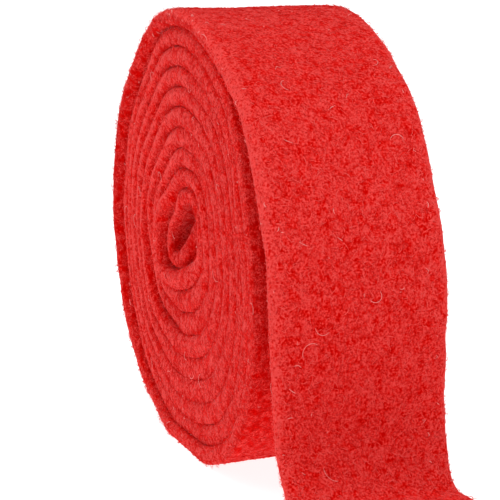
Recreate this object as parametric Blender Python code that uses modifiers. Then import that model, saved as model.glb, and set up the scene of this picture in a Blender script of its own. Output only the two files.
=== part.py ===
"""Roll of felt.

One strip of thick red felt is wound almost ten times round a small open eye.
The roll lies on its side, with its length along Y. It has sagged into a rounded, slightly
flattened outline with a flat spot underneath. The loose end leaves the roll at the upper
front, hangs down clear of it, turns on the floor and runs out towards +X.

The model is in metres, +Z up, and stands on Z = 0. X = 0 and Y = 0 are the middle of the
whole part's outline seen from above.
"""

import math

import bmesh
import bpy

MM = 0.001

# Sizes of the strip, the cut between roll and loose end, and the least space between two
# turns where they are pressed flat underneath
BAND_WIDTH = 40.0 * MM
FELT_THICKNESS = 3.6 * MM
CUT_GAP = 0.3 * MM
TURN_SPACE = 0.35 * MM

# The winding: number of its last pass round the eye, counted from 0, and the centre that
# its radii are measured from
LAST_PASS = 9
EYE_X = -4.4 * MM
EYE_Z = 50.4 * MM

# How much looser the inner passes lie than the outer ones; 0 would space them evenly
INNER_SLACK = 0.06

# Points of the smooth curve for each row of the tables
CURVE_STEPS = 4

# One row every 30 degrees, in millimetres. The angle is measured in the XZ plane from +X
# towards +Z, and the strip runs from row to row as it is wound outwards.
# first, second: radius of the strip's middle on the first and second pass
# near, far: radius on the last pass, at the -Y edge and at the +Y edge
# proud: how far the turns stand out of the -Y end there
WINDING = [
    # angle, first, second, near, far, proud
    (40.0, None, 14.1, 51.2, 48.7, 0.0),
    (10.0, 8.6, 15.2, 50.6, 49.4, 0.0),
    (-20.0, 5.5, 14.2, 53.3, 51.6, 0.0),
    (-50.0, 5.0, 11.4, 53.6, 52.0, 0.2),
    (-80.0, 5.8, 10.8, 50.2, 50.2, 0.4),
    (-110.0, 8.2, 12.8, 50.4, 50.4, 0.4),
    (-140.0, 11.2, 18.0, 52.4, 52.4, 0.5),
    (-170.0, 9.0, 15.2, 50.2, 49.7, 0.8),
    (-200.0, 5.8, 11.3, 46.2, 45.7, 1.0),
    (-230.0, 4.8, 9.3, 43.4, 42.9, 0.9),
    (-260.0, 5.8, 10.6, 47.2, 45.7, 0.7),
    (-290.0, 8.5, 13.8, 51.0, 48.7, 0.4),
]

# Share of "proud" that each pass takes, from the first pass to the last
PROUD_SHARE = [0.2, 0.5, 0.6, 0.7, 0.8, 0.9, 1.0, 1.0, 0.3, 1.3]

# Where the strip leaves the roll, in millimetres: angle, near radius, far radius
DEPARTURE = (40.0, 57.5, 53.9)

# The loose end, in millimetres: middle of the strip's thickness at its two edges, and how
# far the strip has moved along Y
LOOSE_END = [
    # near_x, near_z, far_x, far_z, drift
    (50.6, 75.3, 47.5, 72.5, 0.0),
    (56.7, 61.9, 54.0, 59.2, 0.0),
    (59.0, 46.0, 56.6, 43.5, 0.0),
    (59.35, 33.0, 55.2, 30.5, 0.0),
    (59.5, 20.8, 53.8, 18.5, 0.0),
    (60.7, 14.2, 54.9, 11.9, 0.0),
    (63.6, 8.9, 56.9, 6.1, 0.1),
    (67.8, 4.7, 60.7, 2.2, 0.3),
    (73.4, 2.4, 66.3, 1.8, 0.8),
    (80.0, 1.8, 72.9, 1.8, 1.6),
    (86.0, 1.8, 78.9, 1.8, 2.5),
    (114.0, 1.8, 106.6, 1.8, 7.0),
]

# Moves the model so that X = 0 and Y = 0 fall in the middle of its outline
SHIFT_X = -29.2 * MM
SHIFT_Y = -2.7 * MM


def clear_scene():
    for obj in list(bpy.data.objects):
        bpy.data.objects.remove(obj, do_unlink=True)


def polar(angle, radius):
    """Point of the XZ plane at an angle in degrees and a radius from the eye's centre."""
    turn = math.radians(angle)
    return EYE_X + radius * math.cos(turn), EYE_Z + radius * math.sin(turn)


def winding_rows():
    """Rows of near x, near z, far x, far z, proud, drift and pass, from the inner end out."""
    rows = []
    for turn in range(LAST_PASS + 1):
        share = max(turn - 1, 0) / (LAST_PASS - 1)
        share += INNER_SLACK * share * (1 - share)
        for angle, first, second, near, far, proud in WINDING:
            if turn == 0:
                if first is None:
                    continue
                near_radius = first
                far_radius = first
            else:
                near_radius = second + (near - second) * share
                far_radius = second + (far - second) * share
            near_x, near_z = polar(angle, near_radius * MM)
            far_x, far_z = polar(angle, far_radius * MM)
            stand_out = proud * PROUD_SHARE[turn] * MM
            rows.append((near_x, near_z, far_x, far_z, stand_out, 0.0, turn))
    angle, near_radius, far_radius = DEPARTURE
    near_x, near_z = polar(angle, near_radius * MM)
    far_x, far_z = polar(angle, far_radius * MM)
    rows.append((near_x, near_z, far_x, far_z, 0.0, 0.0, LAST_PASS))
    return rows


def loose_rows():
    rows = []
    for near_x, near_z, far_x, far_z, drift in LOOSE_END:
        rows.append((near_x * MM, near_z * MM, far_x * MM, far_z * MM, 0.0, drift * MM, LAST_PASS))
    return rows


def blend(before, start, end, after, t):
    """Catmull-Rom value at t between start and end."""
    linear = end - before
    square = 2 * before - 5 * start + 4 * end - after
    cube = 3 * start - before - 3 * end + after
    return start + 0.5 * t * (linear + t * (square + t * cube))


def smooth(rows, steps):
    """The rows with steps - 1 more between each two, on a smooth curve."""
    result = []
    last = len(rows) - 1
    for index in range(last):
        before = rows[max(index - 1, 0)]
        start = rows[index]
        end = rows[index + 1]
        after = rows[min(index + 2, last)]
        for step in range(steps):
            t = step / steps
            result.append(tuple(blend(a, b, c, d, t) for a, b, c, d in zip(before, start, end, after)))
    result.append(rows[last])
    return result


def edge_points(row):
    """The strip's -Y and +Y edge points for one row, kept above the floor and the turns below."""
    near_x, near_z, far_x, far_z, proud, drift, turn = row
    floor = FELT_THICKNESS / 2 + (LAST_PASS - turn) * (FELT_THICKNESS + TURN_SPACE)
    near_z = max(near_z, floor)
    far_z = max(far_z, floor)
    lean = math.hypot(near_x - far_x, near_z - far_z)
    half = math.sqrt(BAND_WIDTH ** 2 - lean ** 2) / 2
    middle = SHIFT_Y + drift - proud
    near = (near_x + SHIFT_X, middle - half, near_z)
    far = (far_x + SHIFT_X, middle + half, far_z)
    return near, far


def felt_material(name, color, roughness):
    material = bpy.data.materials.new(name)
    material.use_nodes = True
    shader = material.node_tree.nodes["Principled BSDF"]
    shader.inputs["Base Color"].default_value = color
    shader.inputs["Roughness"].default_value = roughness
    shader.inputs["Metallic"].default_value = 0.0
    return material


def strip_object(name, rows, collection, material):
    """The strip through the rows: a line along its -Y edge, extruded to its +Y edge, made thick."""
    pairs = [edge_points(row) for row in rows]
    mesh = bpy.data.meshes.new(name)
    build = bmesh.new()
    line = [build.verts.new(near) for near, far in pairs]
    for start, end in zip(line, line[1:]):
        build.edges.new((start, end))
    extruded = bmesh.ops.extrude_edge_only(build, edges=build.edges[:])
    made = [item for item in extruded["geom"] if isinstance(item, bmesh.types.BMVert)]
    place = {tuple(round(value, 7) for value in vert.co): vert for vert in made}
    for (near, far), vert in zip(pairs, line):
        place[tuple(round(value, 7) for value in vert.co)].co = far
    bmesh.ops.recalc_face_normals(build, faces=build.faces[:])
    build.to_mesh(mesh)
    build.free()
    mesh.materials.append(material)
    obj = bpy.data.objects.new(name, mesh)
    collection.objects.link(obj)
    thick = obj.modifiers.new("Felt thickness", "SOLIDIFY")
    thick.thickness = FELT_THICKNESS
    thick.offset = 0.0
    thick.use_even_offset = True
    return obj


def cut_start(end_row, rows):
    """The rows, starting one cut gap after end_row instead of at it."""
    first = rows[0]
    length = math.hypot(first[0] - end_row[0], first[1] - end_row[1])
    t = CUT_GAP / length
    start = tuple(a + (b - a) * t for a, b in zip(end_row, first))
    return [start] + rows


def main():
    clear_scene()
    collection = bpy.data.collections.new("Felt roll")
    bpy.context.scene.collection.children.link(collection)
    wound = winding_rows()
    rows = smooth(wound + loose_rows(), CURVE_STEPS)
    leaves = (len(wound) - 1) * CURVE_STEPS
    roll_material = felt_material("Red felt", (0.72, 0.035, 0.035, 1.0), 0.95)
    end_material = felt_material("Red felt, loose end", (0.74, 0.04, 0.04, 1.0), 0.95)
    strip_object("felt_roll", rows[:leaves + 1], collection, roll_material)
    strip_object("loose_end", cut_start(rows[leaves], rows[leaves + 1:]), collection, end_material)


main()
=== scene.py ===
"""Roll of felt: the looks.

The strip of thick red felt is modelled once more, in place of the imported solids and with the
same tables, as one closed sheet with rounded, uneven edges. Loose fibres are laid on its
visible faces and on both ends of the roll.
"""

import math

import bpy
import numpy as np
from bpy.props import FloatProperty, FloatVectorProperty, IntProperty, PointerProperty
from mathutils import Matrix, Vector


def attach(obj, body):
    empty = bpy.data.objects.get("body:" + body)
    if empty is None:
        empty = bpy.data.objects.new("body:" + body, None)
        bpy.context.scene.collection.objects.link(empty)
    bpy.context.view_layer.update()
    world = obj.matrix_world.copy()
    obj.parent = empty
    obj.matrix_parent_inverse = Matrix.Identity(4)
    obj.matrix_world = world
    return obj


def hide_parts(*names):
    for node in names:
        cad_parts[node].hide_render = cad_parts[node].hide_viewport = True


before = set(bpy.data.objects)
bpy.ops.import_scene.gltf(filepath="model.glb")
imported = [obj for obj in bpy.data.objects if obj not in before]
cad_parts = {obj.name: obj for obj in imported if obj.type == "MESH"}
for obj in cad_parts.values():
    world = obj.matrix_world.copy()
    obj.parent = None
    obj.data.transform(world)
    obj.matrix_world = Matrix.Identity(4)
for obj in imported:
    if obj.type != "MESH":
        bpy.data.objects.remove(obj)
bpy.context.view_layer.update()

bl_info = {
    "name": "Roll of felt",
    "version": (1, 0, 0),
    "blender": (4, 5, 0),
    "location": "View3D > Sidebar > Felt roll",
    "description": "Makes a wound strip of felt with its loose fibres, and a stage for it",
    "category": "Add Mesh",
}

MM = 0.001

# The strip as the part's source has it
BAND_WIDTH = 40.0
FELT_THICKNESS = 3.6
TURN_SPACE = 0.35
LAST_PASS = 9
EYE_X = -4.4
EYE_Z = 50.4
INNER_SLACK = 0.06
SHIFT_X = -29.2
SHIFT_Y = -2.7

# One row every 30 degrees, in millimetres, from the inner end outwards
WINDING = [
    # angle, first, second, near, far, proud
    (40.0, None, 14.1, 51.2, 48.7, 0.0),
    (10.0, 8.6, 15.2, 50.6, 49.4, 0.0),
    (-20.0, 5.5, 14.2, 53.3, 51.6, 0.0),
    (-50.0, 5.0, 11.4, 53.6, 52.0, 0.2),
    (-80.0, 5.8, 10.8, 50.2, 50.2, 0.4),
    (-110.0, 8.2, 12.8, 50.4, 50.4, 0.4),
    (-140.0, 11.2, 18.0, 52.4, 52.4, 0.5),
    (-170.0, 9.0, 15.2, 50.2, 49.7, 0.8),
    (-200.0, 5.8, 11.3, 46.2, 45.7, 1.0),
    (-230.0, 4.8, 9.3, 43.4, 42.9, 0.9),
    (-260.0, 5.8, 10.6, 47.2, 45.7, 0.7),
    (-290.0, 8.5, 13.8, 51.0, 48.7, 0.4),
]
PROUD_SHARE = [0.2, 0.5, 0.6, 0.7, 0.8, 0.9, 1.0, 1.0, 0.3, 1.3]
DEPARTURE = (40.0, 57.5, 53.9)
LOOSE_END = [
    # near_x, near_z, far_x, far_z, drift
    (50.6, 75.3, 47.5, 72.5, 0.0),
    (56.7, 61.9, 54.0, 59.2, 0.0),
    (59.0, 46.0, 56.6, 43.5, 0.0),
    (59.35, 33.0, 55.2, 30.5, 0.0),
    (59.5, 20.8, 53.8, 18.5, 0.0),
    (60.7, 14.2, 54.9, 11.9, 0.0),
    (63.6, 8.9, 56.9, 6.1, 0.1),
    (67.8, 4.7, 60.7, 2.2, 0.3),
    (73.4, 2.4, 66.3, 1.8, 0.8),
    (80.0, 1.8, 72.9, 1.8, 1.6),
    (86.0, 1.8, 78.9, 1.8, 2.5),
    (114.0, 1.8, 106.6, 1.8, 7.0),
]

ROWS_A_PASS = len(WINDING)

# Rows where the strip leaves the roll, where its last turn starts, and from where it is
# modelled finely
LEAVES = ROWS_A_PASS - 1 + ROWS_A_PASS * LAST_PASS
LAST_TURN = LEAVES - ROWS_A_PASS
OUTER_FROM = LAST_TURN - 1

# From metres to millimetres, and from a thickness in metres to a radius in millimetres
TO_MM = 1000
TO_RADIUS_MM = 500

# Lengths from here to the strip's cut ends are in millimetres. The felt keeps clear of the
# middle between two turns, reaches at least so far from its own middle, only so far outwards
# under the place where the strip leaves, and so much further inwards at its inner end
TURN_CLEARANCE = 0.015
LEAST_DEPTH = 1.35
DEPTH_UNDER_LEAVING = 2.3
INNER_END_DEPTH = 1.9

# How low felt and fibres may lie
FELT_FLOOR = 0.02
FIBRE_FLOOR = 0.01

# Shape of a cut edge's rounding, 2 for a circle, and the least share of it that is kept
EDGE_ROUNDNESS = 2.05
LEAST_ROUNDING = 0.24

# Lumps of the faces: height, size, random seed
FACE_LUMPS = ((0.08, 9.0, 11), (0.03, 3.1, 12), (0.04, 1.4, 13))

# Waves of the two cut edges: height, place across, size of a wave, random seed
NEAR_WAVES = ((0.22, 0, 14.0, 21), (0.14, 0, 4.5, 22), (0.25, 9, 70.0, 25))
FAR_WAVES = ((0.30, 50, 14.0, 23), (0.22, 50, 4.5, 24), (0.35, 59, 70.0, 26))

# Where the near edge lies back, or stands out below 0: how far, then the rows where that
# begins, is full, stops being full and ends
NEAR_DENTS = (
    (0.7, 4, 6, 8, 10),
    (-0.9, 14, 16, 19, 21),
    (1.4, 39.2, 39.7, 41.3, 42.5),
    (0.8, 27.3, 28, 29.5, 30.5),
)
INNER_END_BACK = 1.8

# How far the near edge lies back at the left side of each turn, counted in from the last
TURNS_BACK = ((0, -0.1), (1, 0.6), (2, 0.5), (3, 0.3))

# Rounding of the strip's two cut ends: its steps in degrees and its length
END_STEPS = (35, 62)
END_LENGTH = 0.9

# Shares of deep, red and pale fibres in a piece; the rest are light red
USUAL_SHADES = (0.3, 0.45, 0.005)
BAND_SHADES = (0.29, 0.37, 0.005)
END_SHADES = (0.38, 0.47, 0.005)
# The loose end's cut edges get mostly light red fibres, a painted highlight on its rim
LOOSE_EDGE_SHADES = (0.05, 0.2, 0.05)

# Deep red fibres gather in grooves as painted shade, and light red ones on ridges as painted highlight
FIBRE_REDS = (
    ("Fibre, deep red", (0.77, 0.006, 0.003)),
    ("Fibre, red", (0.92, 0.015, 0.010)),
    ("Fibre, light red", (1.0, 0.115, 0.105)),
)

# Scales of the felt's patterns: mottle, clumps and grain, needle pits, and curly strands with
# how far each set of them is moved
MOTTLE_SCALES = (260.0, 650.0, 1900.0)
PIT_SCALE = 980.0
STRAND_SCALES = ((620.0, 0.0), (900.0, 0.31), (1300.0, 0.53))
STRAND_BREAKS = 500.0

# The lights, in metres: name, place, size, share of the key light's power
LIGHT_TARGET = (-0.03, 0.0, 0.05)
LIGHTS = (
    ("Front light", (0.85, 0.45, 0.70), 0.6, 0.2),
    ("Side light", (-0.85, -0.7, 0.40), 0.5, 0.45),
    ("Top light", (0.2, -0.1, 1.2), 0.8, 1.95),
)
FLOOR_SIZE = 6.0

# The photo's camera: azimuth, elevation and roll in degrees, the point that it is turned
# round and its distance from there in metres, its lens in millimetres and its shift
CAMERA_ANGLES = (71.724, 11.699, -1.72)
CAMERA_CENTRE = (-0.0292, -0.0027, 0.0471)
CAMERA_DISTANCE = 0.6475
CAMERA_LENS = 207.06
CAMERA_SENSOR = 36.0
CAMERA_SHIFT = (-0.0387, -0.0187)


# Shape of the strip


def strip_rows():
    """Rows of near x, near z, far x, far z, proud, drift and pass, in millimetres."""
    rows = []
    for turn in range(LAST_PASS + 1):
        share = max(turn - 1, 0) / (LAST_PASS - 1)
        share += INNER_SLACK * share * (1 - share)
        for angle, first, second, near, far, proud in WINDING:
            if turn == 0:
                if first is None:
                    continue
                radii = (first, first)
            else:
                radii = (second + (near - second) * share, second + (far - second) * share)
            way = math.radians(angle)
            across, up = math.cos(way), math.sin(way)
            near_x, far_x = (EYE_X + radius * across for radius in radii)
            near_z, far_z = (EYE_Z + radius * up for radius in radii)
            rows.append((near_x, near_z, far_x, far_z, proud * PROUD_SHARE[turn], 0.0, turn))
    angle, near, far = DEPARTURE
    way = math.radians(angle)
    across, up = math.cos(way), math.sin(way)
    near_x, far_x = EYE_X + near * across, EYE_X + far * across
    rows.append((near_x, EYE_Z + near * up, far_x, EYE_Z + far * up, 0.0, 0.0, LAST_PASS))
    for near_x, near_z, far_x, far_z, drift in LOOSE_END:
        rows.append((near_x, near_z, far_x, far_z, 0.0, drift, LAST_PASS))
    return np.array(rows, float)


def on_curve(rows, at):
    """Values of the rows' columns on a smooth curve, at fractional row numbers."""
    last = len(rows) - 1
    index = np.clip(at.astype(int), 0, last - 1)
    t = (at - index)[:, None]
    before = rows[np.maximum(index - 1, 0)]
    start = rows[index]
    end = rows[index + 1]
    after = rows[np.minimum(index + 2, last)]
    linear = end - before
    square = 2 * before - 5 * start + 4 * end - after
    cube = 3 * start - before - 3 * end + after
    return start + 0.5 * t * (linear + t * (square + t * cube))


def edge_lines(rows, at):
    """The strip's near and far edge points at fractional row numbers, in millimetres."""
    near_x, near_z, far_x, far_z, proud, drift, turn = on_curve(rows, at).T
    floor = FELT_THICKNESS / 2 + (LAST_PASS - turn) * (FELT_THICKNESS + TURN_SPACE)
    near_z = np.maximum(near_z, floor)
    far_z = np.maximum(far_z, floor)
    lean = np.hypot(near_x - far_x, near_z - far_z)
    half = np.sqrt(BAND_WIDTH ** 2 - lean ** 2) / 2
    middle = SHIFT_Y + drift - proud
    near = np.stack([near_x + SHIFT_X, middle - half, near_z], 1)
    far = np.stack([far_x + SHIFT_X, middle + half, far_z], 1)
    return near, far


def unit(vectors):
    return vectors / np.maximum(np.linalg.norm(vectors, axis=-1, keepdims=True), 1e-12)


def lumps(along, across, size, seed):
    """Smooth random heights between -1 and 1, with lumps of one size."""
    cells = 509
    grid = np.random.default_rng(seed).uniform(-1, 1, (cells, cells))
    x = np.asarray(along) / size + 0.37
    y = np.asarray(across) / size + 0.61
    x, y = np.broadcast_arrays(x, y)
    column = np.floor(x).astype(int)
    row = np.floor(y).astype(int)
    tx = x - column
    ty = y - row
    tx = tx * tx * (3 - 2 * tx)
    ty = ty * ty * (3 - 2 * ty)
    low = grid[column % cells, row % cells] * (1 - tx) + grid[(column + 1) % cells, row % cells] * tx
    high = grid[column % cells, (row + 1) % cells] * (1 - tx)
    high = high + grid[(column + 1) % cells, (row + 1) % cells] * tx
    return low * (1 - ty) + high * ty


def stations(rows, fine_step, inner_step):
    """Row numbers of the strip's cross sections, their length along the strip in millimetres,
    and the number of the first finely modelled one."""
    samples_a_row = 48
    at = np.linspace(0, len(rows) - 1, (len(rows) - 1) * samples_a_row + 1)
    near, far = edge_lines(rows, at)
    middle = (near + far) / 2
    length = np.concatenate([[0], np.cumsum(np.linalg.norm(np.diff(middle, axis=0), axis=1))])
    split = np.interp(OUTER_FROM, at, length)
    inner = np.linspace(0, split, int(split / inner_step) + 1)
    outer = np.linspace(split, length[-1], int((length[-1] - split) / fine_step) + 1)
    where = np.concatenate([inner, outer[1:]])
    return np.interp(where, length, at), where, len(inner) - 1


def rise(at, start, end):
    """0 before start, 1 after end and even between."""
    return np.interp(at, [start, end], [0.0, 1.0])


def hump(at, start, top_from, top_to, end):
    """0 outside start and end, 1 from top_from to top_to."""
    return np.interp(at, [start, top_from, top_to, end], [0.0, 1.0, 1.0, 0.0])


def half_depths(rows, at, free, pressed):
    """How far the felt reaches outwards and inwards from its middle, at both edges. Between
    two turns it fills the space up to the most that pressed allows, less a thin clearance.
    The space is measured square to the felt."""
    near, far = edge_lines(rows, at)
    most = free + (pressed - free) * rise(at, 8, 14)
    hanging = rise(at, LEAVES + 1.5, LEAVES + 4)
    under_leaving = hump(at, LAST_TURN - 3, LAST_TURN - 2, LAST_TURN, LAST_TURN + 1)
    most_inwards = pressed - (pressed - free) * hanging
    most_outwards = pressed - (pressed - DEPTH_UNDER_LEAVING) * under_leaving
    depths = []
    for way, cap in ((1, most_outwards), (-1, most_inwards)):
        beside = at + way * ROWS_A_PASS
        known = (beside >= 0) & (beside <= LEAVES)
        other = edge_lines(rows, np.clip(beside, 0, LEAVES))
        sides = []
        for here, there in zip((near, far), other):
            run = unit(np.gradient(here[:, [0, 2]], axis=0))
            offset = (there - here)[:, [0, 2]]
            gap = np.abs(offset[:, 0] * run[:, 1] - offset[:, 1] * run[:, 0])
            reach = np.where(known, np.minimum(gap / 2 - TURN_CLEARANCE, most), free)
            if way < 0:
                reach += INNER_END_DEPTH * np.interp(at, [0, 3, 5], [1.0, 0.8, 0.0])
            sides.append(np.maximum(np.minimum(reach, cap), LEAST_DEPTH))
        depths.append(np.stack(sides, 1))
    return depths


def edge_shifts(at, length):
    """How far the near and the far edge move across the strip, towards its far side."""
    near, far = (
        sum(height * lumps(length, place, size, seed) for height, place, size, seed in waves)
        for waves in (NEAR_WAVES, FAR_WAVES)
    )
    near = near + INNER_END_BACK * np.clip(1 - at / 5.0, 0, 1)
    for turns_in, depth in TURNS_BACK:
        start = LAST_TURN - ROWS_A_PASS * turns_in
        near = near + depth * hump(at, start + 3.5, start + 6, start + 9.5, start + 11.5)
    for depth, *where in NEAR_DENTS:
        near = near + depth * hump(at, *where)
    return near, far


def flare(at):
    """How far the outer turn's near edge opens outwards, in millimetres."""
    return 0.4 * hump(at, LAST_TURN + 5, LAST_TURN + 7, LAST_TURN + 9.5, LAST_TURN + 11)


def edge_rounding(at, length, slack, leaving):
    """Share of a full rounding that the cut edges have. It is small where turns are pressed
    together, and full where they lie slack, in the eye and on the loose end."""
    inmost = np.interp(at, [0, 22, 44], [0.6, 0.45, 0.0])
    free = np.maximum(np.maximum(slack, 0.8 * leaving), inmost)
    rounding = LEAST_ROUNDING + (1 - LEAST_ROUNDING) * free
    rounding += 0.10 * lumps(length, 33, 25.0, 27)
    return np.clip(rounding, 0.03, 1.0)


def painted_light_values(at, edge, place_h, near_side, seen, slack, leaving):
    """Values for the colour's painted light: painted shade down to 0 where felt lies hidden in a
    groove, 0.5 on open faces and a painted highlight up to 1 on the ridge of a cut edge. They are
    lower in the eye, on the outer turn's lip and in the gap beside the loose end, as painted shade."""
    hidden = 0.12 * (1 - slack)
    open_face = hidden + (0.5 - hidden) * seen
    ridge = edge ** (1.5 + 4.0 * slack - 0.7 * leaving)
    highlight_peak = 0.56 + 0.44 * np.maximum(slack, leaving)
    painted_light = open_face + (highlight_peak - open_face) * ridge
    # Painted shade in the eye
    painted_light = painted_light * np.interp(at, [0, 3, 6], [0.0, 0.4, 0.9])
    # Painted shade on the outer turn's lip, at its near edge and on its inner face
    shaded_edge = hump(at, LAST_TURN + 6.5, LAST_TURN + 7.2, LAST_TURN + 8.0, LAST_TURN + 9.0) * edge
    painted_light = painted_light * (1 - 0.8 * shaded_edge * near_side)
    shaded_inner_face = hump(at, LAST_TURN + 6, LAST_TURN + 8, LAST_TURN + 11, LAST_TURN + 12) * (place_h < 0.2)
    painted_light = painted_light * (1 - 0.8 * shaded_inner_face * near_side)
    # Painted shade in the gap beside the loose end
    gap_shade_above = hump(at, LEAVES - 4, LEAVES - 2.5, LEAVES + 4, LEAVES + 7) * (place_h < 0.3)
    gap_shade_below = hump(at, LAST_TURN - 3.5, LAST_TURN - 2, LAST_TURN + 3.2, LAST_TURN + 4.6) * (place_h > -0.3)
    gap = np.maximum(gap_shade_above, gap_shade_below) * near_side * (1 - edge) ** 0.5
    return painted_light * (1 - 0.9 * gap)


def section(columns, edge_points, edge_depth):
    """One ring round the strip: outer face, far edge, inner face, near edge. Returns the
    distance across from the near edge in millimetres, the height share (-1 inside to 1
    outside) and the normal's two parts, across and outwards."""
    face = np.linspace(edge_depth, BAND_WIDTH - edge_depth, columns + 1)
    turns = np.linspace(90, -90, edge_points + 2)[1:-1]
    power = 2 / EDGE_ROUNDNESS

    def rounded(angle, start, way):
        c, s = math.cos(math.radians(angle)), math.sin(math.radians(angle))
        return start + way * edge_depth * abs(c) ** power, math.copysign(abs(s) ** power, s), way * c, s

    ring = [(place, 1.0, 0.0, 1.0) for place in face]
    ring += [rounded(angle, BAND_WIDTH - edge_depth, 1) for angle in turns]
    ring += [(place, -1.0, 0.0, -1.0) for place in face[::-1]]
    ring += [rounded(angle, edge_depth, -1) for angle in turns[::-1]]
    return np.array(ring).T


def strip_surface(settings):
    """Points of every ring of the strip, (station, ring place, xyz) in millimetres, with what
    the mesh and the fibres need to know about them."""
    rows = strip_rows()
    at, length, split = stations(rows, settings.outer_step * TO_MM, settings.inner_step * TO_MM)
    near, far = edge_lines(rows, at)
    outward, inward = half_depths(rows, at, settings.free_depth * TO_MM, settings.pressed_depth * TO_MM)
    across = unit(far - near)
    along = unit(np.gradient((near + far) / 2, length, axis=0))
    normal = unit(np.cross(along, across))
    place_a, place_h, normal_a, normal_h = section(
        settings.columns, settings.edge_points, settings.edge_depth * TO_MM
    )
    share = place_a / BAND_WIDTH
    up = outward[:, :1] * (1 - share) + outward[:, 1:] * share
    down = inward[:, :1] * (1 - share) + inward[:, 1:] * share
    edge = np.abs(normal_a)
    near_side = place_a < BAND_WIDTH / 2

    # Open faces are the outer side of the last turn and both sides of the loose end
    outer = rise(at, OUTER_FROM, OUTER_FROM + 1)[:, None]
    loose = rise(at, LEAVES - 4, LEAVES - 1)[:, None]
    seen = np.where(place_h > 0, outer, loose)
    round_length = np.cumsum(np.concatenate([[0], np.hypot(np.diff(place_a), 2.0 * np.diff(place_h))]))
    relief = sum(
        height * lumps(length[:, None], round_length, size, seed) for height, size, seed in FACE_LUMPS
    )
    relief = relief * (0.2 + 0.8 * np.maximum(seen, edge)) * settings.relief
    near_shift, far_shift = edge_shifts(at, length)
    closeness = np.clip(1 - np.minimum(place_a, BAND_WIDTH - place_a) / 8.0, 0, 1)
    shift = np.where(near_side, near_shift[:, None], far_shift[:, None]) * closeness * settings.relief

    # The turns lie slack on the roll's side away from the loose end
    angle = np.radians(DEPARTURE[0] - 360 / ROWS_A_PASS * (at - LEAVES))
    slack = np.clip(0.12 + 0.32 * np.sin(angle) - np.cos(angle), 0, 1)
    leaving = rise(at, LEAVES - 3, LEAVES - 1)
    rounding = edge_rounding(at, length, slack, leaving)[:, None]

    # A cut edge that is hardly rounded keeps its full thickness up to its corners
    corner = np.abs(place_h[edge > 0]).max()
    squared = np.where(edge > 0, place_h / corner, place_h)
    height = (up - down) / 2 + (up + down) / 2 * (squared + (place_h - squared) * rounding)
    from_edge = np.where(near_side, place_a, BAND_WIDTH - place_a)
    from_edge = np.where(edge > 0, from_edge * rounding, from_edge)
    a = np.where(near_side, from_edge, BAND_WIDTH - from_edge) + shift + relief * normal_a
    lip = np.clip(1 - place_a / 10.0, 0, 1) ** 2 * flare(at)[:, None]
    h = height + relief * normal_h * seen + lip
    points = near[:, None, :] + across[:, None, :] * a[..., None] + normal[:, None, :] * h[..., None]
    points[..., 2] = np.maximum(points[..., 2], FELT_FLOOR)
    painted_light = painted_light_values(
        at[:, None], edge, place_h, near_side, seen, slack[:, None], leaving[:, None]
    )
    return {
        "points": points,
        "painted_light": painted_light,
        "at": at,
        "length": length,
        "split": split,
        "along": along,
        "across": across,
        "normal": normal,
        "normal_a": normal_a,
        "normal_h": normal_h,
        "columns": settings.columns,
        "edge_points": settings.edge_points,
    }


def kept_places(columns, edge_points):
    """Ring places that the inner turns keep: the edges, and few columns of their hidden faces."""
    third = columns // 3
    face = sorted({0, 2, 6, third, columns // 2, columns - third, columns - 6, columns - 2, columns})
    inside = columns + 1 + edge_points
    kept = face + list(range(columns + 1, inside)) + [inside + place for place in face]
    kept += range(inside + columns + 1, 2 * inside)
    return np.array(kept)


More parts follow.
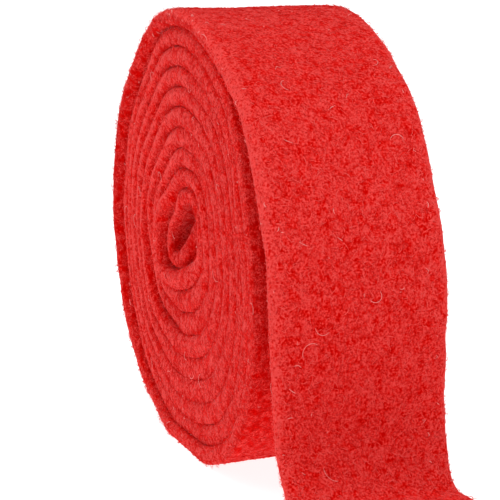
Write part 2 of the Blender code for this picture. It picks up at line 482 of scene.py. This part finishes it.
def strip_faces(surface):
    """Vertices in metres, quads, other faces and painted light values of the closed strip."""
    points = surface["points"]
    painted_light = surface["painted_light"]
    count, places = points.shape[:2]
    columns, edge_points = surface["columns"], surface["edge_points"]
    kept = kept_places(columns, edge_points)
    split = surface["split"]
    number = -np.ones((count, places), int)
    verts = []
    painted_lights = []
    total = 0
    ends = [rounded_end(surface, 0, -1), rounded_end(surface, count - 1, 1)]
    for station in range(count):
        used = kept if station < split else np.arange(places)
        number[station, used] = total + np.arange(len(used))
        verts.append(points[station, used])
        painted_lights.append(painted_light[station, used])
        total += len(used)
    faces = []
    after = np.roll(kept, -1)
    for station in range(split - 1):
        a, b = number[station, kept], number[station, after]
        c, d = number[station + 1, after], number[station + 1, kept]
        faces.append(np.stack([a, b, c, d], 1))
    every = np.arange(places)
    beyond = np.roll(every, -1)
    for station in range(split, count - 1):
        a, b = number[station, every], number[station, beyond]
        c, d = number[station + 1, beyond], number[station + 1, every]
        faces.append(np.stack([a, b, c, d], 1))
    quads = np.concatenate(faces)
    others = []
    for first, last in zip(kept, after):
        span = list(range(first, last + 1)) if last > first else list(range(first, places)) + [last]
        fine = [int(number[split, place]) for place in span]
        others.append([int(number[split - 1, first]), int(number[split - 1, last])] + fine[::-1])
    for (rings, station, way) in ((ends[0], 0, -1), (ends[1], count - 1, 1)):
        used = kept if station < split else every
        before = number[station, used]
        for ring in rings:
            verts.append(ring[used])
            painted_lights.append(painted_light[station, used] * 0.5 + 0.5 if way > 0 else painted_light[station, used])
            new = total + np.arange(len(used))
            total += len(used)
            a, b, c, d = before, np.roll(before, -1), np.roll(new, -1), new
            ring_faces = np.stack([a, b, c, d], 1)
            quads = np.concatenate([quads, ring_faces if way > 0 else ring_faces[:, ::-1]])
            before = new
        # Zip the last ring shut, outer face to inner face
        width = len([place for place in used if place <= columns])
        ring = list(before)
        outer = ring[:width]
        inner = ring[width + edge_points:2 * width + edge_points][::-1]
        for k in range(width - 1):
            face = [outer[k + 1], outer[k], inner[k], inner[k + 1]]
            others.append(face if way < 0 else face[::-1])
        tips = (
            [outer[-1]] + ring[width:width + edge_points] + [inner[-1]],
            [inner[0]] + ring[2 * width + edge_points:] + [outer[0]],
        )
        for tip in tips:
            low, high = 0, len(tip) - 1
            while high - low > 2:
                face = [tip[low + 1], tip[low], tip[high], tip[high - 1]]
                others.append(face if way < 0 else face[::-1])
                low += 1
                high -= 1
            face = [tip[low + 1], tip[low], tip[high]]
            others.append(face if way < 0 else face[::-1])
    quads = quads[:, ::-1]
    others = [face[::-1] for face in others]
    return np.concatenate(verts) * MM, quads, others, np.concatenate(painted_lights)


def rounded_end(surface, station, way):
    """Two more rings that round off a cut end of the strip."""
    points = surface["points"][station]
    along = surface["along"][station]
    columns, edge_points = surface["columns"], surface["edge_points"]
    inside = columns + 1 + edge_points
    face = np.arange(columns + 1)
    edge = np.arange(edge_points)
    opposite = np.arange(len(points))
    opposite[:columns + 1] = inside + columns - face
    opposite[columns + 1:inside] = inside - 1 - edge
    opposite[inside:inside + columns + 1] = columns - face
    opposite[inside + columns + 1:] = 2 * inside - 1 - edge
    middle = (points + points[opposite]) / 2
    rings = []
    for step in END_STEPS:
        c, s = math.cos(math.radians(step)), math.sin(math.radians(step))
        ring = middle + (points - middle) * c + along * way * END_LENGTH * s
        ring[:, 2] = np.maximum(ring[:, 2], FELT_FLOOR)
        rings.append(ring)
    return rings


# Meshes


def fill_mesh(mesh, verts, quads, others, tones=None, smooth=True):
    """Puts points, four-sided faces and other faces into a mesh at once."""
    sizes = np.array([4] * len(quads) + [len(face) for face in others], np.int32)
    rest = np.array([corner for face in others for corner in face], int)
    corners = np.concatenate([quads.ravel(), rest]).astype(np.int32)
    starts = np.concatenate([[0], np.cumsum(sizes)[:-1]]).astype(np.int32)
    mesh.vertices.add(len(verts))
    mesh.vertices.foreach_set("co", np.asarray(verts, np.float32).ravel())
    mesh.loops.add(len(corners))
    mesh.loops.foreach_set("vertex_index", corners)
    mesh.polygons.add(len(sizes))
    mesh.polygons.foreach_set("loop_start", starts)
    mesh.update(calc_edges=True)
    mesh.polygons.foreach_set("use_smooth", np.full(len(sizes), smooth))
    if tones is not None:
        mesh.polygons.foreach_set("material_index", np.asarray(tones, np.int32))
    mesh.validate()
    mesh.update()


def new_piece(name, mesh, materials):
    for material in materials:
        mesh.materials.append(material)
    piece = bpy.data.objects.new(name, mesh)
    bpy.context.scene.collection.objects.link(piece)
    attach(piece, "root")
    return piece


def fibre_mesh(name, roots, normals, ways, lengths, bends, lifts, tips, radii, tones, segments):
    """Thin three-sided fibres, each a curve from its root. Sizes in millimetres."""
    count = len(roots)
    sides = np.cross(normals, ways)
    steps = np.linspace(0, 1, segments + 1)
    angle = bends[:, None] * steps[None, :]
    bent = np.where(np.abs(bends) < 1e-3, 1e-3, bends)[:, None]
    forward = lengths[:, None] * np.sin(angle) / bent
    sideways = lengths[:, None] * (1 - np.cos(angle)) / bent
    rise = lifts[:, None] * np.sin(np.pi * steps)[None, :] + tips[:, None] * steps[None, :] ** 2 - 0.03
    line = (
        roots[:, None, :]
        + ways[:, None, :] * forward[..., None]
        + sides[:, None, :] * sideways[..., None]
        + normals[:, None, :] * rise[..., None]
    )
    direction = unit(np.gradient(line, axis=1))
    side = unit(np.cross(normals[:, None, :], direction))
    top = unit(np.cross(direction, side))
    taper = np.ones(segments + 1)
    taper[0] = taper[-1] = 0.55
    thick = radii[:, None, None] * taper[None, :, None]
    ring = []
    for turn in (30, 150, 270):
        c, s = math.cos(math.radians(turn)), math.sin(math.radians(turn))
        ring.append(line + thick * (side * c + top * s))
    points = np.stack(ring, 2)
    points[..., 2] = np.maximum(points[..., 2], FIBRE_FLOOR)
    base = (np.arange(count) * (segments + 1) * 3)[:, None, None]
    level = (np.arange(segments) * 3)[None, :, None]
    here = np.arange(3)[None, None, :]
    there = (np.arange(3) + 1)[None, None, :] % 3
    quads = np.stack(
        np.broadcast_arrays(
            base + level + here, base + level + there, base + level + 3 + there, base + level + 3 + here
        ),
        -1,
    ).reshape(-1, 4)
    start = np.stack([base[:, 0, 0] + 2, base[:, 0, 0] + 1, base[:, 0, 0]], 1)
    last = base[:, 0, 0] + segments * 3
    end = np.stack([last, last + 1, last + 2], 1)
    caps = np.concatenate([start, end])
    mesh = bpy.data.meshes.new(name)
    shades = np.concatenate([np.repeat(tones, segments * 3), tones, tones])
    fill_mesh(mesh, points.reshape(-1, 3) * MM, quads, caps.tolist(), shades, smooth=False)
    return mesh


def surface_spots(surface, stations_at, places):
    """Points and outward normals of the strip's surface at fractional stations and ring places."""
    points = surface["points"]
    count, ring = points.shape[:2]
    i = np.clip(stations_at.astype(int), 0, count - 2)
    j = places.astype(int) % ring
    ti = (stations_at - i)[:, None]
    tj = (places - np.floor(places))[:, None]
    k = (j + 1) % ring
    a, b, c, d = points[i, j], points[i, k], points[i + 1, j], points[i + 1, k]
    spot = (a * (1 - tj) + b * tj) * (1 - ti) + (c * (1 - tj) + d * tj) * ti
    normal = (
        surface["across"][i] * surface["normal_a"][j][:, None]
        + surface["normal"][i] * surface["normal_h"][j][:, None]
    )
    return spot, unit(normal)


# Materials


class Value:
    """A node's output that takes part in sums."""

    def __init__(self, nodes, socket):
        self.nodes = nodes
        self.socket = socket

    def _sum(self, kind, a, b):
        return self.nodes.add("ShaderNodeMath", {"operation": kind}, {0: a, 1: b})

    def __add__(self, other):
        return self._sum("ADD", self, other)

    __radd__ = __add__

    def __sub__(self, other):
        return self._sum("SUBTRACT", self, other)

    def __rsub__(self, other):
        return self._sum("SUBTRACT", other, self)

    def __mul__(self, other):
        return self._sum("MULTIPLY", self, other)

    def __abs__(self):
        return self._sum("ABSOLUTE", self, 0.0)


class Nodes:
    """The node tree of one material."""

    def __init__(self, name):
        self.material = bpy.data.materials.new(name)
        self.material.use_nodes = True
        self.tree = self.material.node_tree
        self.shader = self.tree.nodes["Principled BSDF"]

    def add(self, kind, settings=None, inputs=None, output=0):
        """Adds a node: its settings first, then the values or links of its sockets."""
        node = self.tree.nodes.new(kind)
        for name, value in (settings or {}).items():
            setattr(node, name, value)
        for name, value in (inputs or {}).items():
            self.give(node.inputs[name], value)
        return Value(self, node.outputs[output])

    def give(self, socket, value):
        if isinstance(value, Value):
            self.tree.links.new(value.socket, socket)
        else:
            socket.default_value = value

    def between(self, value, low, high):
        """0 below low, 1 above high and smooth between."""
        return self.add(
            "ShaderNodeMapRange",
            {"interpolation_type": "SMOOTHSTEP", "clamp": True},
            {"Value": value, "From Min": low, "From Max": high},
        )

    def noise(self, place, scale, distortion=0.0):
        return self.add(
            "ShaderNodeTexNoise",
            {"noise_dimensions": "3D"},
            {"Vector": place, "Scale": scale, "Detail": 1.0, "Roughness": 0.5, "Distortion": distortion},
        )

    def blend(self, share, first, second):
        """A colour between two colours."""
        node = self.tree.nodes.new("ShaderNodeMix")
        node.data_type = "RGBA"
        self.give(node.inputs[0], share)
        self.give(node.inputs[6], first)
        self.give(node.inputs[7], second)
        return Value(self, node.outputs[2])


def felt_material(settings):
    """Red needled felt: mottled, pitted by the needles and covered with curly strands."""
    n = Nodes("Red felt, needled")
    place = n.add("ShaderNodeTexCoord", output=3)
    mottle, clumps, grain = (n.noise(place, scale) for scale in MOTTLE_SCALES)
    # The needle pits are darkened towards deep red, a painted shade down in the pits
    pit_far = n.add(
        "ShaderNodeTexVoronoi", {"feature": "F1"}, {"Vector": place, "Scale": PIT_SCALE, "Randomness": 1.0}
    )
    pits = 1.0 - n.between(pit_far, 0.08, 0.34)
    strands = None
    for scale, shift in STRAND_SCALES:
        moved = n.add(
            "ShaderNodeVectorMath", {"operation": "ADD"}, {0: place, 1: (shift, shift * 0.7, -shift)}
        )
        ridge = abs(n.noise(moved, scale, 1.6) - 0.5)
        line = 1.0 - n.between(ridge, 0.0, 0.04)
        strands = line if strands is None else strands + line - strands * line
    strands = strands * n.between(n.noise(place, STRAND_BREAKS), 0.36, 0.56)
    deep = (*settings.deep_red, 1.0)
    middle = (*settings.felt_red, 1.0)
    light = (*settings.light_red, 1.0)
    painted_light = n.add("ShaderNodeAttribute", {"attribute_name": "painted_light"}, output=2)
    # Below 0 the felt turns deep red, and above 0 light red. The painted light attribute puts painted shade
    # into grooves, gaps and the eye, and a painted highlight on the cut edges' ridges.
    level = (mottle - 0.5) * 0.6 + (clumps - 0.5) * 0.6 + (grain - 0.5) * 3.0 + (painted_light - 0.56) * 1.2
    color = n.blend(n.between(level, -0.45, 0.85), middle, light)
    color = n.blend(n.between(level, 0.05, -0.75), color, deep)
    # Painted shade in the needle pits
    color = n.blend(pits * 0.9, color, deep)
    color = n.blend(strands * 0.9, color, light)
    n.give(n.shader.inputs["Base Color"], color)
    n.give(n.shader.inputs["Roughness"], 0.86 + grain * 0.12)
    height = strands - pits + grain + clumps * 0.5
    bump = n.add("ShaderNodeBump", None, {"Strength": 0.45, "Distance": 0.00012, "Height": height})
    n.give(n.shader.inputs["Normal"], bump)
    n.shader.inputs["Sheen Weight"].default_value = 0.2
    n.shader.inputs["Sheen Roughness"].default_value = 0.3
    n.shader.inputs["Sheen Tint"].default_value = (1.0, 0.75, 0.75, 1.0)
    n.shader.inputs["Specular IOR Level"].default_value = 0.0
    return n.material


def fibre_material(name, color):
    """One shade of loose fibre."""
    n = Nodes(name)
    n.shader.inputs["Base Color"].default_value = (*color, 1.0)
    n.shader.inputs["Roughness"].default_value = 0.8
    n.shader.inputs["Sheen Weight"].default_value = 0.04
    n.shader.inputs["Sheen Tint"].default_value = (1.0, 0.6, 0.6, 1.0)
    n.shader.inputs["Specular IOR Level"].default_value = 0.05
    return n.material


def fibre_shades(settings):
    """The four shades of fibre from deep to pale, each made when it is first needed."""
    shades = (*FIBRE_REDS, ("Fibre, pale", tuple(settings.pale)))
    return [bpy.data.materials.get(name) or fibre_material(name, color) for name, color in shades]


# Settings


class FeltStripSettings(bpy.types.PropertyGroup):
    outer_step: FloatProperty(
        name="Outer step", description="Spacing of the cross sections on the outer turn and loose end",
        default=0.00088, min=0.0005, unit="LENGTH", precision=5,
    )
    inner_step: FloatProperty(
        name="Inner step", description="Spacing of the cross sections on the inner turns",
        default=0.0014, min=0.0008, unit="LENGTH", precision=5,
    )
    columns: IntProperty(name="Columns", description="Columns of faces across the strip", default=42, min=16)
    edge_points: IntProperty(
        name="Edge points", description="Points round each cut edge, an odd number", default=7, min=3
    )
    edge_depth: FloatProperty(
        name="Edge rounding", description="How far in from each edge its rounding starts",
        default=0.0024, unit="LENGTH", precision=5,
    )
    free_depth: FloatProperty(
        name="Free depth", description="How far the felt reaches from its middle where nothing lies on it",
        default=0.0017, unit="LENGTH", precision=5,
    )
    pressed_depth: FloatProperty(
        name="Pressed depth", description="How far it reaches at most between two turns",
        default=0.0027, unit="LENGTH", precision=5,
    )
    relief: FloatProperty(name="Relief", description="Strength of the lumps and wavy edges", default=1.0)
    felt_red: FloatVectorProperty(
        name="Felt red", description="Colour of most of the felt", subtype="COLOR",
        default=(0.82, 0.005, 0.002), min=0.0, max=1.0,
    )
    # Light red also gives the painted highlight on the ridges of the cut edges
    light_red: FloatVectorProperty(
        name="Light red", description="Colour of the raised strands", subtype="COLOR",
        default=(1.0, 0.085, 0.078), min=0.0, max=1.0,
    )
    # Deep red also gives the painted shade in the needle pits, grooves, gaps and the eye
    deep_red: FloatVectorProperty(
        name="Deep red", description="Colour down in the needle pits", subtype="COLOR",
        default=(0.63, 0.001, 0.0005), min=0.0, max=1.0,
    )


class FeltFibreSettings(bpy.types.PropertyGroup):
    band_count: IntProperty(name="On the band", description="Fibres on the outer turn", default=22000)
    near_count: IntProperty(
        name="On the near end", description="Fibres on the near end of the roll", default=14000
    )
    far_count: IntProperty(
        name="On the far end", description="Fibres on the far end of the roll", default=3500
    )
    back_count: IntProperty(name="Behind the loose end", description="Fibres on its inner face", default=3000)
    edge_count: IntProperty(
        name="On the outer edges", description="Short fuzz on the cut edges, for each of its two pieces",
        default=2600,
    )
    stray_count: IntProperty(name="Stray fibres", description="Long pale stray fibres", default=60)
    thickness: FloatProperty(
        name="Fibre thickness", description="Thickness of a usual fibre", default=0.00013,
        unit="LENGTH", precision=6,
    )
    pale: FloatVectorProperty(
        name="Pale fibre", description="Colour of the stray fibres", subtype="COLOR",
        default=(1.0, 0.44, 0.42), min=0.0, max=1.0,
    )


class FeltStageSettings(bpy.types.PropertyGroup):
    floor_color: FloatVectorProperty(
        name="Floor", description="Colour of the floor", subtype="COLOR", default=(0.45, 0.45, 0.45),
        min=0.0, max=1.0,
    )
    key_power: FloatProperty(
        name="Key light", description="Power that each light takes its share of", default=4.4, unit="POWER"
    )
    sky: FloatProperty(name="Sky", description="Brightness of the even light from all round", default=0.27)


# Operators


def random_ways(rng, normals):
    """A random direction in the surface for each normal."""
    raw = rng.normal(size=(len(normals), 3))
    return unit(raw - normals * (raw * normals).sum(1, keepdims=True))


def edge_starts(strip):
    """Ring places just before the near and the far cut edge."""
    return 2 * strip.columns + 2 + strip.edge_points - 0.5, strip.columns + 0.5


def lay_fibres(
    name, surface, rng, at, places, settings, lengths, lift,
    flat_way=None, shares=USUAL_SHADES, segments=3, shorter=1.0,
):
    """Lays one piece of short fibres on the strip's surface. Those on an end of the roll lie
    flatter, turned half to flat_way."""
    spots, normals = surface_spots(surface, at, places)
    count = len(spots)
    if flat_way is not None:
        normals = unit(normals * 0.5 + np.array(flat_way)[None, :])
    ways = random_ways(rng, normals)
    length = rng.uniform(*lengths, count) * shorter
    bends = rng.normal(0, 1.7, count)
    lifts = np.abs(rng.normal(0, lift, count)) + 0.03
    tips = np.where(rng.random(count) < 0.2, np.abs(rng.normal(0, lift, count)), 0.0)
    radii = settings.thickness * TO_RADIUS_MM * rng.uniform(0.7, 1.25, count)
    # Dark shades in grooves as painted shade, light ones on ridges as painted highlight, and a few pale
    # fibres anywhere
    ring = surface["painted_light"].shape[1]
    painted_light = surface["painted_light"][at.astype(int), places.astype(int) % ring]
    deep_red, red, pale = shares
    tones = np.searchsorted([deep_red, deep_red + red], rng.random(count) + 1.3 * (painted_light - 0.5))
    tones[rng.random(count) < pale] = 3
    mesh = fibre_mesh(name, spots, normals, ways, length, bends, lifts, tips, radii, tones, segments)
    return new_piece(name, mesh, fibre_shades(settings))


class FELTROLL_OT_strip(bpy.types.Operator):
    """Winds the felt strip and lays out its loose end"""

    bl_idname = "feltroll.strip"
    bl_label = "Wind the strip"

    def execute(self, context):
        settings = context.scene.feltroll_strip
        surface = strip_surface(settings)
        verts, quads, others, painted_lights = strip_faces(surface)
        mesh = bpy.data.meshes.new("felt_strip")
        fill_mesh(mesh, verts, quads, others)
        # The cut edges where turns are pressed together are flat faces with corners
        facing = np.empty(len(mesh.polygons) * 3, np.float32)
        mesh.polygons.foreach_get("normal", facing)
        mesh.polygons.foreach_set("use_smooth", np.abs(facing[1::3]) < 0.8)
        layer = mesh.attributes.new("painted_light", "FLOAT", "POINT")
        layer.data.foreach_set("value", painted_lights.astype(np.float32))
        piece = new_piece("felt_strip", mesh, [felt_material(settings)])
        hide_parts("felt_roll", "loose_end")
        round(surface["length"][-1] * MM, 3)
        return {"FINISHED"}


class FELTROLL_OT_fibres(bpy.types.Operator):
    """Lays loose fibres on the band, the ends of the roll, the cut edges and behind the loose end"""

    bl_idname = "feltroll.fibres"
    bl_label = "Lay the fibres"

    def execute(self, context):
        settings = context.scene.feltroll_fibres
        strip = context.scene.feltroll_strip
        surface = strip_surface(strip)
        columns, edge_points = strip.columns, strip.edge_points
        count = len(surface["at"])
        split = surface["split"]
        rng = np.random.default_rng(5)
        for part in (1, 2):
            total = settings.band_count // 2
            at = rng.uniform(split, count - 1.001, total)
            places = rng.uniform(0, columns, total)
            lay_fibres(
                f"band_fibres_{part}", surface, rng, at, places, settings, (0.7, 2.4), 0.08,
                shares=BAND_SHADES, segments=2,
            )
        by_length = surface["length"]
        near_start, far_start = edge_starts(strip)
        for name, total, start, way, segments in (
            ("near_end_fibres", settings.near_count, near_start, (0.0, -1.0, 0.0), 2),
            ("far_end_fibres", settings.far_count, far_start, (0.0, 1.0, 0.0), 3),
        ):
            at = np.interp(rng.uniform(0, by_length[-1], total), by_length, np.arange(count))
            places = rng.uniform(start, start + edge_points, total)
            outermost = surface["at"][at.astype(int)] > LAST_TURN - 0.5
            lay_fibres(
                name, surface, rng, at, places, settings, (0.7, 2.4), 0.2, way,
                shares=END_SHADES, segments=segments, shorter=np.where(outermost, 0.45, 1.0),
            )
        total = settings.edge_count
        opened = int(np.searchsorted(surface["at"], LEAVES - 3.5))
        for name, first, last, shares in (
            ("edge_fibres", split, opened, USUAL_SHADES),
            ("loose_edge_fibres", opened, count - 1.001, LOOSE_EDGE_SHADES),
        ):
            at = rng.uniform(first, last, total)
            places = np.where(rng.random(total) < 0.6, near_start, far_start) - 1.5
            places = places + rng.uniform(0, edge_points + 3, total)
            lay_fibres(name, surface, rng, at, places, settings, (0.5, 1.5), 0.22, shares=shares)
        behind = int(np.searchsorted(surface["at"], LEAVES - 1.0))
        at = rng.uniform(behind, count - 1.001, settings.back_count)
        inside = columns + 1 + edge_points
        places = rng.uniform(inside, inside + columns, settings.back_count)
        lay_fibres("loose_end_back_fibres", surface, rng, at, places, settings, (1.2, 4.0), 0.10)
        return {"FINISHED"}


class FELTROLL_OT_strays(bpy.types.Operator):
    """Adds the few long pale fibres that curl on the surface"""

    bl_idname = "feltroll.strays"
    bl_label = "Add stray fibres"

    def execute(self, context):
        settings = context.scene.feltroll_fibres
        strip = context.scene.feltroll_strip
        surface = strip_surface(strip)
        rng = np.random.default_rng(8)
        total = settings.stray_count
        count = len(surface["at"])
        on_end = rng.random(total) < 0.5
        near_start = edge_starts(strip)[0]
        at = rng.uniform(np.where(on_end, 0, surface["split"]), count - 1.001)
        places = rng.uniform(
            np.where(on_end, near_start, 0), np.where(on_end, near_start + strip.edge_points, strip.columns)
        )
        spots, normals = surface_spots(surface, at, places)
        normals = np.where(on_end[:, None], np.array([0.0, -1.0, 0.0]), normals)
        ways = random_ways(rng, normals)
        lengths = rng.uniform(2.5, 6.0, total)
        bends = rng.choice([-1, 1], total) * rng.uniform(1.5, 4.5, total)
        lifts = rng.uniform(0.1, 0.3, total)
        tips = np.abs(rng.normal(0, 0.1, total))
        radii = np.full(total, settings.thickness * TO_RADIUS_MM * 0.68)
        tones = np.zeros(total, int)
        mesh = fibre_mesh(
            "stray_fibres", spots, normals, ways, lengths, bends, lifts, tips, radii, tones, segments=10
        )
        new_piece("stray_fibres", mesh, fibre_shades(settings)[-1:])
        return {"FINISHED"}


class FELTROLL_OT_stage(bpy.types.Operator):
    """Makes the floor, the soft lights and the camera"""

    bl_idname = "feltroll.stage"
    bl_label = "Set the stage"

    def execute(self, context):
        settings = context.scene.feltroll_stage
        scene = context.scene
        bpy.ops.object.select_all(action="DESELECT")
        bpy.ops.mesh.primitive_plane_add(size=FLOOR_SIZE, location=(0.0, 0.0, 0.0))
        floor = context.active_object
        floor.name = "floor"
        paint = Nodes("Pale floor")
        paint.shader.inputs["Base Color"].default_value = (*settings.floor_color, 1.0)
        paint.shader.inputs["Roughness"].default_value = 0.9
        paint.shader.inputs["Emission Color"].default_value = (1.0, 1.0, 1.0, 1.0)
        paint.shader.inputs["Emission Strength"].default_value = 0.9
        floor.data.materials.append(paint.material)

        world = bpy.data.worlds.new("Even light")
        scene.world = world
        world.use_nodes = True
        world.node_tree.nodes["Background"].inputs["Color"].default_value = (1.0, 1.0, 1.0, 1.0)
        world.node_tree.nodes["Background"].inputs["Strength"].default_value = settings.sky

        target = Vector(LIGHT_TARGET)
        for name, place, size, share in LIGHTS:
            data = bpy.data.lights.new(name, "AREA")
            data.energy = settings.key_power * share
            data.size = size
            light = bpy.data.objects.new(name, data)
            light.location = place
            light.rotation_mode = "QUATERNION"
            light.rotation_quaternion = (Vector(place) - target).to_track_quat("Z", "Y")
            scene.collection.objects.link(light)

        azimuth, elevation, roll = (math.radians(angle) for angle in CAMERA_ANGLES)
        level = math.cos(elevation)
        back = Vector((math.sin(azimuth) * level, -math.cos(azimuth) * level, math.sin(elevation)))
        right = Vector((math.cos(azimuth), math.sin(azimuth), 0.0))
        up = back.cross(right)
        side = right * math.cos(roll) + up * math.sin(roll)
        top = up * math.cos(roll) - right * math.sin(roll)
        place = Vector(CAMERA_CENTRE) + back * CAMERA_DISTANCE
        data = bpy.data.cameras.new("Camera")
        data.sensor_width = CAMERA_SENSOR
        data.lens = CAMERA_LENS
        data.shift_x, data.shift_y = CAMERA_SHIFT
        data.clip_start = 0.05
        data.clip_end = 20.0
        camera = bpy.data.objects.new("Camera", data)
        turn = Matrix((side, top, back)).transposed().to_4x4()
        camera.matrix_world = Matrix.Translation(place) @ turn
        scene.collection.objects.link(camera)
        scene.camera = camera
        scene.view_settings.view_transform = "Standard"
        return {"FINISHED"}


class FELTROLL_PT_panel(bpy.types.Panel):
    """Lists the pieces of the roll"""

    bl_idname = "FELTROLL_PT_panel"
    bl_label = "Felt roll"
    bl_space_type = "VIEW_3D"
    bl_region_type = "UI"
    bl_category = "Felt roll"

    def draw(self, context):
        layout = self.layout
        for heading, settings, operators in (
            ("Strip", context.scene.feltroll_strip, ("feltroll.strip",)),
            ("Fibres", context.scene.feltroll_fibres, ("feltroll.fibres", "feltroll.strays")),
            ("Stage", context.scene.feltroll_stage, ("feltroll.stage",)),
        ):
            box = layout.box()
            box.label(text=heading)
            for name in settings.__annotations__:
                box.prop(settings, name)
            for operator in operators:
                box.operator(operator)


CLASSES = (
    FeltStripSettings,
    FeltFibreSettings,
    FeltStageSettings,
    FELTROLL_OT_strip,
    FELTROLL_OT_fibres,
    FELTROLL_OT_strays,
    FELTROLL_OT_stage,
    FELTROLL_PT_panel,
)


def register():
    for cls in CLASSES:
        bpy.utils.register_class(cls)
    bpy.types.Scene.feltroll_strip = PointerProperty(type=FeltStripSettings)
    bpy.types.Scene.feltroll_fibres = PointerProperty(type=FeltFibreSettings)
    bpy.types.Scene.feltroll_stage = PointerProperty(type=FeltStageSettings)


def unregister():
    del bpy.types.Scene.feltroll_stage
    del bpy.types.Scene.feltroll_fibres
    del bpy.types.Scene.feltroll_strip
    for cls in reversed(CLASSES):
        bpy.utils.unregister_class(cls)


def main():
    register()
    bpy.ops.object.select_all(action="DESELECT")
    bpy.ops.feltroll.strip()
    bpy.ops.feltroll.fibres()
    bpy.ops.feltroll.strays()
    bpy.ops.feltroll.stage()


if __name__ == "__main__":
    main()
